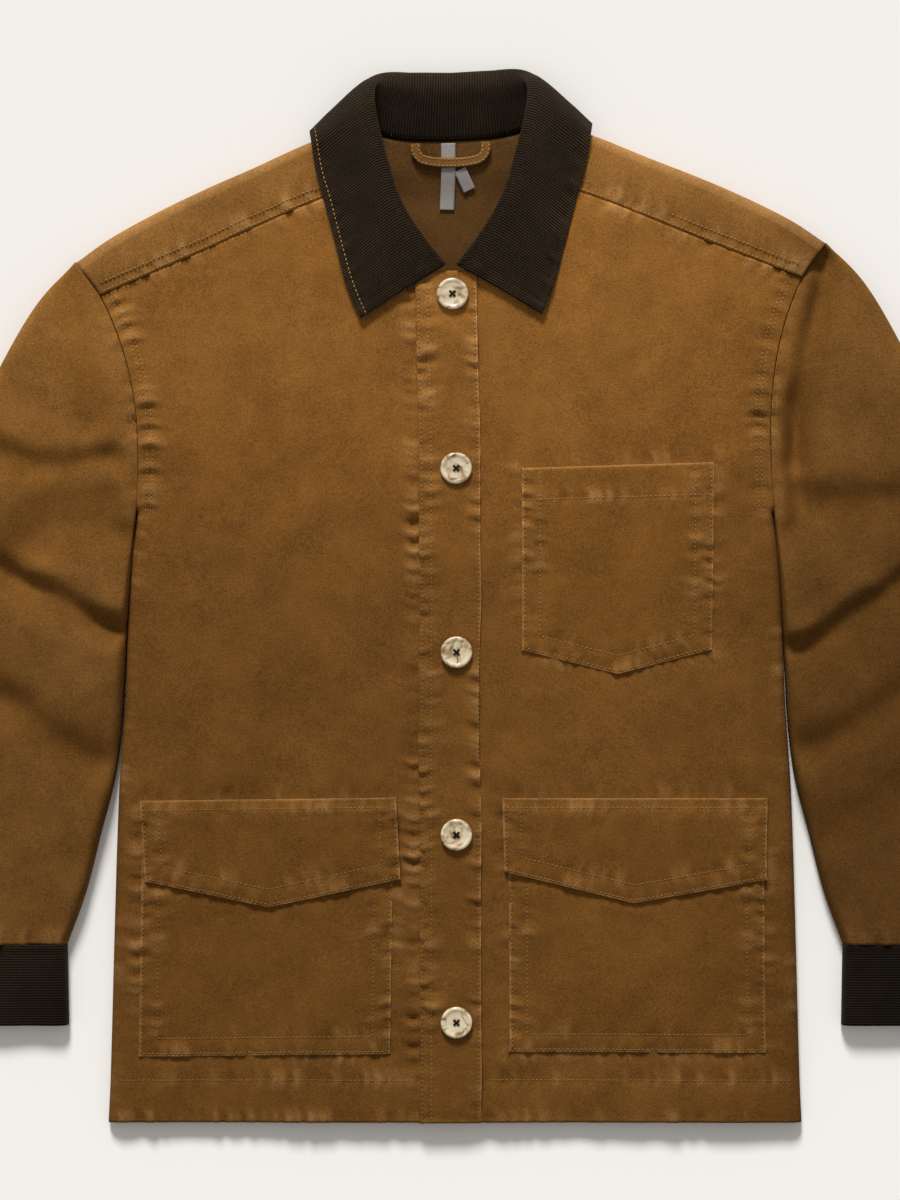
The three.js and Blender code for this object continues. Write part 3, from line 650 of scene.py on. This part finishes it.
def tube(side, sections, lift_more):
    """Rings of a flat tube: over the top from inner to outer fold, then back along the surface."""
    inner, outer = np.array([0, 0.3, 0.8, 1.6, 3, 5, 7]), np.array([11, 8.5, 6, 4, 2.4, 1.2, 0.4, 0])
    rows, rubs = [], []
    for outX, outY, inX, inY, z, bow in sections:
        width = math.hypot(outX - inX, outY - inY)
        middle = np.linspace(9.5 / width, 1 - 13.5 / width, 44)
        share = np.concatenate([inner / width, middle, 1 - outer / width])
        x = mix(inX, outX, share) + bow * armhole_bow(share)
        y = mix(inY, outY, share)
        lift = rounded(share * width, EDGE_ROUND) * rounded((1 - share) * width, mix(OUTER_ROUND, 4, bow))
        more, rub = lift_more(side * x, y)
        top = mix(2 * CANVAS + GAP, z + more, lift)
        down = share[::-3]
        dx, dy = mix(inX, outX, down) + bow * armhole_bow(down), mix(inY, outY, down)
        rows.append(np.concatenate([point(side * x, y, top), point(side * dx, dy, 0 * dx)]))
        rubs.append(np.concatenate([rub, 0.2 + 0 * dx]))
    rows, rub = np.array(rows), np.array(rubs)
    return (rows, rub) if side > 0 else (rows[:, ::-1], rub[:, ::-1])


def section_at(t):
    order = t * (len(SLEEVE) - 1)
    return [float(along([(k, row[c]) for k, row in enumerate(SLEEVE)], order)) for c in range(6)]


for hand, side in (("left", 1), ("right", -1)):
    seam_line = [(side * (x + 2), y) for x, y in armhole]
    cuff_line = [(side * 280, -249), (side * 418, -249)]

    def sleeve_relief(x, y, side=side, seam_line=seam_line, cuff_line=cuff_line):
        height, rub = puckers([(seam_line, 0.9, 7), (cuff_line, 1.0, 8)], x, y)
        near_seam = smooth(near(seam_line, x, y)[0] / 22)
        above_cuff = smooth((y + 252) / 45)
        drop = fold_depth(side, np.abs(x), y) * near_seam * above_cuff
        gathers = 0.9 * np.exp(-((y + 252) / 26) ** 2) * field(9, x * 1.4, y * 0.35)
        # Outside the folds' hollows the sleeve is paler; the darker hollows are painted shade.
        return height - drop + soft(x, y, 1.5) * near_seam + gathers, rub + 0.12 * np.clip(2 - drop, 0, 2)

    sections = [section_at(t) for t in np.linspace(0, 1, 150)]
    sections[-1][1] = sections[-1][3] = SLEEVE[-1][1] + GAP
    rows, rub = tube(side, sections, sleeve_relief)
    made = shell(f"sleeve_{hand}", rows, CANVAS, "sleeve", wrap=True, rub=rub)

    sections, (out_x, out_y, in_x, _, z, _) = [], SLEEVE[-1]
    for t in np.linspace(0, 1, 26):
        y = out_y - CUFF_LENGTH * t
        roll = 0.9 * math.exp(-((t / 0.12) ** 2)) - 0.7 * math.exp(-(((t - 0.1) / 0.04) ** 2))
        sections.append((out_x - 2 * math.sin(math.pi * t), y, in_x - t, y, z + 0.4 - t + roll, 0))
    rows, rub = tube(side, sections, cuff_relief)
    made = shell(f"cuff_{hand}", rows, CUFF_WALL, "collar", wrap=True, rub=rub, wale=rows[..., 1])


# Collar
def build_collar():
    orders = np.linspace(-1, 1, 321)
    at = np.abs(orders) * (len(COLLAR) - 1)
    knot = lambda c, axis: along([(k, row[c][axis]) for k, row in enumerate(COLLAR)], at)
    knots = np.stack([np.stack([knot(c, axis) for axis in range(3)], -1) for c in range(6)], 1)
    knots[..., 0] *= np.where(orders < 0, -1, 1)[:, None]
    steps = np.linalg.norm(np.diff(knots, axis=1), axis=2) ** 0.75
    chord = np.concatenate([np.zeros((len(at), 1)), np.cumsum(steps, axis=1)], 1)
    share = np.linspace(0, 1, 37)
    rows = np.zeros((len(at), len(share), 3))
    for i in range(len(at)):
        for axis in range(3):
            rows[i, :, axis] = along(list(zip(chord[i] / chord[i, -1], knots[i, :, axis])), share)
    rows = point(rows[..., 0], rows[..., 1], np.maximum(rows[..., 2], 0))
    roll = rows[:, 14]
    run = np.concatenate([[0], np.cumsum(np.linalg.norm(np.diff(roll, axis=0), axis=1))])
    # The edge is stitched 6 mm in, and puckers; the front fall waves a little.
    side_on = smooth((np.abs(orders) - 0.42) / 0.1)[:, None]
    from_edge = np.linalg.norm(rows - rows[:, -1:], axis=2)
    wave = np.interp((run * 1.1 + 300) % ROPE_REACH, np.arange(ROPE_CELLS), ROPE)[:, None]
    ends = smooth((np.abs(orders) - 0.9) / 0.1)[:, None]
    pull = np.exp(-((from_edge - 6) / 5) ** 2)
    sway = 0.35 * field(9, rows[..., 0], rows[..., 1]) * smooth(from_edge / 20)
    rows[..., 2] += side_on * (0.55 * pull * wave + sway)
    rows[..., 2] -= side_on * 0.5 * np.exp(-((from_edge - 6) / 1.6) ** 2) * (1 - ends)
    end_run = np.minimum(run, run[-1] - run)[:, None]
    end_wave = np.interp((from_edge + 900) % ROPE_REACH, np.arange(ROPE_CELLS), ROPE)
    rows[..., 2] += 0.9 * np.exp(-(((end_run - 5) / 5) ** 2)) * end_wave
    rows[..., 2] -= 0.5 * np.exp(-(((end_run - 9) / 1.5) ** 2))
    stand = smooth(1 - np.abs(np.arange(len(share)) - 8) / 9)[None, :] * (np.abs(orders) < 0.3)[:, None]
    rows[..., 2] += 0.8 * stand * field(9, rows[..., 0], 0.2 * rows[..., 1])
    rows[..., 2] = np.maximum(rows[..., 2], 0)
    rub = 0.15 + 0.9 * np.exp(-(from_edge / 3) ** 2) + 0.3 * pull * np.clip(wave, 0, 1)
    made = shell("collar", rows, CORDUROY, "collar", rub=rub, wale=np.repeat(run[:, None], len(share), 1))
    right_front = orders < -0.42
    column = np.argmin(np.abs(from_edge[right_front] - 6), axis=1)
    line = rows[right_front][np.arange(right_front.sum()), column]
    stitch(line + [0, 0, 0.3], pitch=3.5)


build_collar()


# Pockets, flaps and placket
def build_patch(name, thickness):
    (a, b, c, d), tip = PATCHES[name]
    a, b, c, d = (np.array(p, float) for p in (a, b, c, d))
    tall = FLAP_LENGTH if name.startswith("flap") else POCKET_LENGTH
    near_edge = np.array([0.5, 1.1, 1.8])
    steps = share_steps(PATCH_WIDTH)
    share = np.unique(np.concatenate([steps, near_edge / PATCH_WIDTH, 1 - near_edge / PATCH_WIDTH]))
    t = np.unique(np.concatenate([share_steps(tall), near_edge / tall, 1 - near_edge / tall]))[:, None]
    low = mix(d, c, share[:, None])
    if tip:
        halves = np.array([d, np.array(tip, float), c])
        low = np.stack([np.interp(share, [0, 0.5, 1], halves[:, k]) for k in (0, 1)], -1)
    high = mix(a, b, share[:, None])
    x = mix(high[:, 0], low[:, 0], t)
    y = mix(high[:, 1], low[:, 1], t)
    edge = np.minimum(np.minimum(share, 1 - share)[None, :] * PATCH_WIDTH, np.minimum(t, 1 - t) * tall)
    z, rub = patch_top(name, x, y)
    z = z - 0.5 * np.exp(-(edge / 1.5) ** 2)
    rub = rub + 1.5 * np.exp(-(edge / 1.2) ** 2)
    rows = point(x, y, z)
    if b[0] < a[0]:
        rows, rub = rows[:, ::-1], rub[:, ::-1]
    made = shell(name, rows, thickness, "pocket", rub=rub)
    for line in PATCH_ROWS[name]:
        plan_stitch(line, lambda px, py: patch_top(name, px, py))


for name in PATCHES:
    build_patch(name, FOLDED if name.startswith("flap") else CANVAS)

y = np.linspace(PLACKET_TOP, HEM_Y, 330)[:, None]
near_edge = np.array([0, 0.5, 1.1])
middle = np.linspace(PLACKET_RIGHT + 2, PLACKET_LEFT - 2, 22)
columns = np.concatenate([PLACKET_RIGHT + near_edge, middle, PLACKET_LEFT - near_edge[::-1]])
x = columns[None, :] + 0 * y
edge = np.minimum(x - PLACKET_RIGHT, PLACKET_LEFT - x)
x = x + 0.7 * field(20, 0 * x, y + 77)
z, rub = placket_top(x, y + 0 * x)
rows = point(x, y, z - 0.5 * np.exp(-(edge / 1.5) ** 2))
made = shell("placket", rows, FOLDED, "front", rub=rub + 1.5 * np.exp(-(edge / 1.2) ** 2) * (x > 0))
for line in PLACKET_STITCHES:
    plan_stitch(line, placket_top)

# Topstitching of the fronts
for side in (1, -1):
    for inset in (7, 10.5):
        plan_stitch([(side * (px - inset), py) for px, py in armhole], front_top)
    for rise in (2, 9):
        top = lambda px, py: (along(BODY_HEIGHT, py) + puckers(rows_yoke, px, py)[0] + 1.1, 0)
        plan_stitch([(side * px, py + rise) for px, py in yoke], top)
plan_stitch([(PLACKET_LEFT + 4, HEM_Y + HEM_BAND), (246, HEM_Y + HEM_BAND)], front_top)
plan_stitch([(-246, HEM_Y + HEM_BAND), (PLACKET_RIGHT - 4, HEM_Y + HEM_BAND)], front_top)


# Loop and labels
def strip(name, line, width, thickness, height, material):
    p = np.array(line, float)
    run = np.concatenate([[0], np.cumsum(np.linalg.norm(np.diff(p, axis=0), axis=1))])
    s = np.linspace(0, run[-1], 60)
    q = np.stack([along(list(zip(run, p[:, k])), s) for k in (0, 1)], -1)
    t = np.gradient(q, axis=0)
    t /= np.linalg.norm(t, axis=1)[:, None]
    out = np.stack([-t[:, 1], t[:, 0]], -1)[:, None] * np.linspace(-width / 2, width / 2, 7)[None, :, None]
    xy = q[:, None] + out
    # A strip is curled very slightly along its length.
    z = back_z(xy[..., 0], xy[..., 1]) + height + 0.25 * np.sin(s / 9)[:, None]
    rows = point(xy[..., 0], xy[..., 1], z)
    shade = RIBBON_SHADE if material == "ribbon" else LOOP_SHADE
    made = shell(name, rows, thickness, material, rub=0 * z + 0.3, shade=0 * z + shade)
    return rows


LOOP_LINE = [(-26, 334.5), (-25.5, 328), (-20, 322.5), (0, 320), (20, 322), (25, 327), (25.5, 334.5)]
loop = strip("hang_loop", LOOP_LINE, 7, FOLDED, 3 * GAP + RIBBON + FOLDED + 0.3, "back")
strip("label_long", [(-2, 334.5), (-2, 310), (-3, 286)], 10.5, RIBBON, 2 * GAP + RIBBON + 0.3, "ribbon")
strip("label_short", [(6.5, 315), (13.5, 300)], 9, RIBBON, 2 * GAP + RIBBON + 0.5, "ribbon")
for column in (1, 5):
    stitch(loop[:, column] + [0, 0, 0.15], pitch=3)

# All stitches are one piece.
stacked = np.concatenate(STITCHES)
count = len(stacked)
ring = [[2, 3, 7, 6], [3, 4, 8, 7], [4, 5, 9, 8], [5, 2, 6, 9]]
caps = [[0, 3, 2], [0, 4, 3], [0, 5, 4], [0, 2, 5], [1, 6, 7], [1, 7, 8], [1, 8, 9], [1, 9, 6]]
tris = [[q[0], q[1], q[2]] for q in ring] + [[q[0], q[2], q[3]] for q in ring] + caps
faces = (np.array(tris)[None] + 10 * np.arange(count)[:, None, None]).reshape(-1, 3)
stitches = add_mesh("stitches", stacked.reshape(-1, 3), faces, "thread", rub=np.zeros(count * 10))


# Each button is a turned disc with a raised rim and a dished face, without holes. Crossed thread lies on it.
def horn_material():
    material = bpy.data.materials.new("marbled horn")
    material.use_nodes = True
    tree = material.node_tree
    shader = tree.nodes["Principled BSDF"]
    shader.inputs["Roughness"].default_value = 0.28
    place = node(tree, "TexCoord")
    swirl = node(tree, "TexNoise", Scale=95.0, Detail=3.0, Distortion=1.6)
    ramp = tree.nodes.new("ShaderNodeValToRGB")
    stops = [(0.33, (118, 88, 58)), (0.42, (176, 150, 112)), (0.52, (208, 192, 160)), (0.7, (222, 208, 180))]
    ramp.color_ramp.elements[0].position, ramp.color_ramp.elements[1].position = stops[0][0], stops[1][0]
    for position, _ in stops[2:]:
        ramp.color_ramp.elements.new(position)
    for element, (_, colour) in zip(ramp.color_ramp.elements, stops):
        element.color = srgb(*colour)
    tree.links.new(place.outputs["Object"], swirl.inputs["Vector"])
    tree.links.new(swirl.outputs["Fac"], ramp.inputs["Fac"])
    tree.links.new(ramp.outputs["Color"], shader.inputs["Base Color"])
    return material


MATERIALS["horn"] = horn_material()
# Radius and height of the button's face, from its foot round the rim to the dished middle.
BUTTON_PROFILE = [(8.5, 0), (10.6, 0.6), (11.2, 1.3), (11.5, 2), (11.3, 2.7), (10.6, 3.2), (9.9, 3.35),
                  (9.2, 3.2), (8.4, 2.7), (7.4, 2.4), (5, 2.2)]
BUTTON_SIDES, BUTTON_MIDDLE, BUTTON_LIFT = 64, 2.1, 0.55
THREAD_REACH, THREAD_RADIUS, THREAD_SIDES = 3.0, 0.38, 6
for k in range(BUTTONS):
    low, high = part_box(f"button_{k + 1}")
    cx, cy = (low.x + high.x) / 2 / MM, (low.y + high.y) / 2 / MM - SHIFT_Y
    base = low.z / MM + BUTTON_LIFT
    angle = np.linspace(0, 2 * math.pi, BUTTON_SIDES, endpoint=False)
    verts = [np.stack([cx + r * np.cos(angle), cy + r * np.sin(angle), base + z + 0 * angle], -1)
             for r, z in BUTTON_PROFILE]
    verts = np.concatenate(verts + [np.array([[cx, cy, base]]), np.array([[cx, cy, base + BUTTON_MIDDLE]])])
    around = np.arange(BUTTON_SIDES)
    beside = (around + 1) % BUTTON_SIDES
    faces = []
    for r in range(len(BUTTON_PROFILE) - 1):
        here, above = r * BUTTON_SIDES, (r + 1) * BUTTON_SIDES
        faces.append(np.stack([here + around, here + beside, above + beside], -1))
        faces.append(np.stack([here + around, above + beside, above + around], -1))
    end = len(BUTTON_PROFILE) * BUTTON_SIDES
    last = end - BUTTON_SIDES
    faces.append(np.stack([beside, around, 0 * around + end], -1))
    faces.append(np.stack([last + around, last + beside, 0 * around + end + 1], -1))
    made = add_mesh(f"horn_button_{k + 1}", verts, np.concatenate(faces), "horn")
    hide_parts(f"button_{k + 1}")
    lines = []
    for turn in (0.25, 0.75):
        dx, dy = THREAD_REACH * math.cos(math.pi * turn), THREAD_REACH * math.sin(math.pi * turn)
        for shift in (-0.35, 0.35):
            s = np.linspace(-1, 1, 9)
            arch = base + 2.25 + 0.75 * (1 - s**4)
            x, y = cx + dx * s + shift * dy / THREAD_REACH, cy + dy * s - shift * dx / THREAD_REACH
            lines.append(np.stack([x, y, arch], -1))
    tube_verts, tube_faces = [], []
    for line in lines:
        start = sum(len(v) for v in tube_verts)
        t = np.gradient(line, axis=0)
        side = np.stack([-t[:, 1], t[:, 0], 0 * t[:, 0]], -1)
        side /= np.linalg.norm(side, axis=1)[:, None]
        circle = np.linspace(0, 2 * math.pi, THREAD_SIDES, endpoint=False)[None, :, None]
        out = np.cos(circle) * side[:, None] + np.sin(circle) * np.array([0, 0, 1])
        tube_verts.append((line[:, None] + THREAD_RADIUS * out).reshape(-1, 3))
        i, j = np.meshgrid(np.arange(len(line) - 1), np.arange(THREAD_SIDES), indexing="ij")
        here, above, beside = i * THREAD_SIDES, (i + 1) * THREAD_SIDES, (j + 1) % THREAD_SIDES
        quads = np.stack([here + j, here + beside, above + beside, above + j], -1)
        tube_faces.append(quads.reshape(-1, 4) + start)
    verts, faces = np.concatenate(tube_verts), np.concatenate(tube_faces)
    thread = add_mesh(f"button_thread_{k + 1}", verts, faces, "dark thread")

# ---------- stage ----------
floor_mesh = bpy.data.meshes.new("floor")
half = 3  # half the floor's side, in metres
corners = [(-half, -half, 0), (half, -half, 0), (half, half, 0), (-half, half, 0)]
floor_mesh.from_pydata(corners, [], [(0, 1, 2, 3)])
floor = bpy.data.objects.new("floor", floor_mesh)
floor.location.z = cad_bounds[0].z - 0.0002
bpy.context.scene.collection.objects.link(floor)
paper = bpy.data.materials.new("paper")
paper.use_nodes = True
paper.node_tree.nodes["Principled BSDF"].inputs["Base Color"].default_value = srgb(242, 239, 234)
paper.node_tree.nodes["Principled BSDF"].inputs["Roughness"].default_value = 0.95
floor_mesh.materials.append(paper)

sun_data = bpy.data.lights.new("window", "SUN")
sun_data.energy, sun_data.angle = 3.8, 0.26
sun = bpy.data.objects.new("window", sun_data)
sun.rotation_euler = (math.radians(-59), math.radians(-12), 0)
bpy.context.scene.collection.objects.link(sun)
world = bpy.data.worlds.new("room")
bpy.context.scene.world = world
world.use_nodes = True
world.node_tree.nodes["Background"].inputs["Color"].default_value = (1, 0.985, 0.96, 1)
world.node_tree.nodes["Background"].inputs["Strength"].default_value = 0.4

camera_data = bpy.data.cameras.new("camera")
camera_data.lens = 89.9
camera = bpy.data.objects.new("camera", camera_data)
camera.location = (-0.0037, SHIFT_Y * MM, 2.2)
bpy.context.scene.collection.objects.link(camera)
bpy.context.scene.camera = camera
bpy.context.scene.view_settings.view_transform = "Standard"
